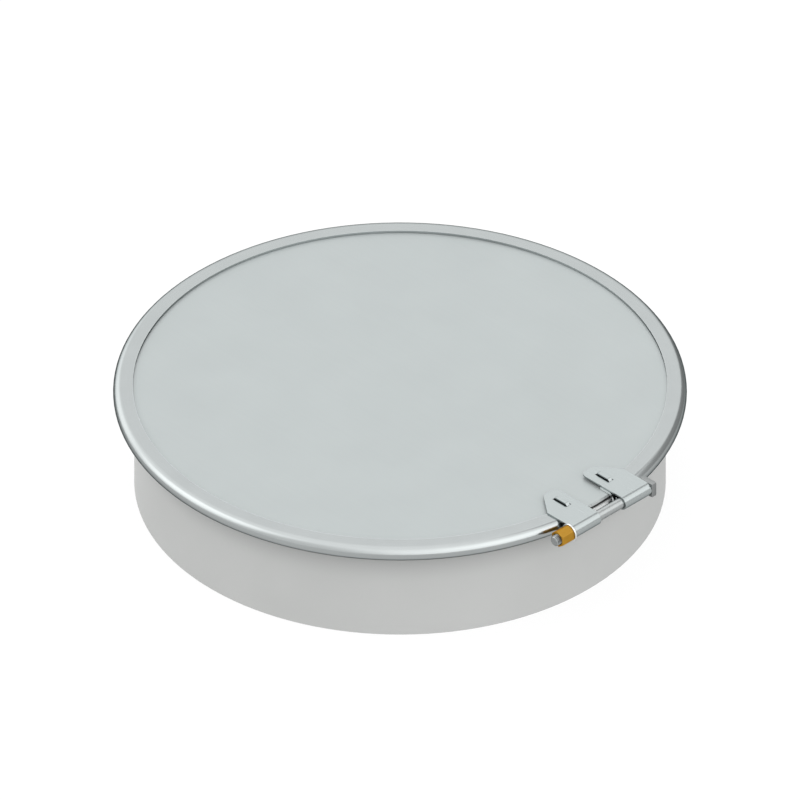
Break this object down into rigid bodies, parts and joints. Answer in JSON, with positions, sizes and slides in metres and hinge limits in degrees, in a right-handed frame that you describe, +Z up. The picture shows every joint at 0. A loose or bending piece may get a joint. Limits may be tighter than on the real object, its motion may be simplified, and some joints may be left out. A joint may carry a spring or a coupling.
{
  "type": "tank manway cover",
  "caption": "Round tank manway: weld collar with an outward rim, gasket, flat lid and a split C-section clamp ring drawn closed by a cross bolt through two sheet lugs.",
  "frame": {"origin": "centre of the collar's bottom edge, on the collar's axis", "axes": "+Z up along the collar's axis; +X towards the ring's split and its clamp bolt; +Y along the bolt towards its head"},
  "size_m": [0.5084, 0.4936, 0.1053],
  "materials": {
    "collar_steel": "fine matt stainless",
    "lid_steel": "fine matt stainless sheet",
    "ring_steel": "smooth rolled stainless",
    "lug_steel": "pressed stainless sheet",
    "bolt_steel": "bright stainless bar",
    "nut_brass": "turned brass",
    "gasket_rubber": "matt black rubber"
  },
  "bodies": {
    "collar_and_lid": {"weld_collar": "collar_steel", "gasket": "gasket_rubber", "lid": "lid_steel"},
    "ring": {"clamp_ring": "ring_steel", "nut_side_lug": "lug_steel", "head_side_lug": "lug_steel"},
    "bolt": {"clamp_bolt": "bolt_steel"},
    "washer": {"washer": "bolt_steel"},
    "nut": {"nut": "nut_brass"}
  },
  "joints": [
    {"name": "ring_turn", "type": "hinge", "parent": "collar_and_lid", "child": "ring", "pos_m": [0, 0, 0.0948], "axis": [0, 0, 1], "continuous": true},
    {"name": "bolt_slide", "type": "slide", "parent": "ring", "child": "bolt", "axis": [0, 1, 0], "range_m": [0, 0.12]},
    {"name": "washer_slide", "type": "slide", "parent": "ring", "child": "washer", "axis": [0, -1, 0], "range_m": [0, 0.02074]},
    {"name": "nut_spin", "type": "hinge", "parent": "washer", "child": "nut", "pos_m": [0.25335, -0.0549, 0.09655], "axis": [0, -1, 0], "range_deg": [0, 4680]}
  ],
  "couplings": [
    {"joint": "washer_slide", "follows": "nut_spin", "m_per_rad": 0.00025266}
  ]
}
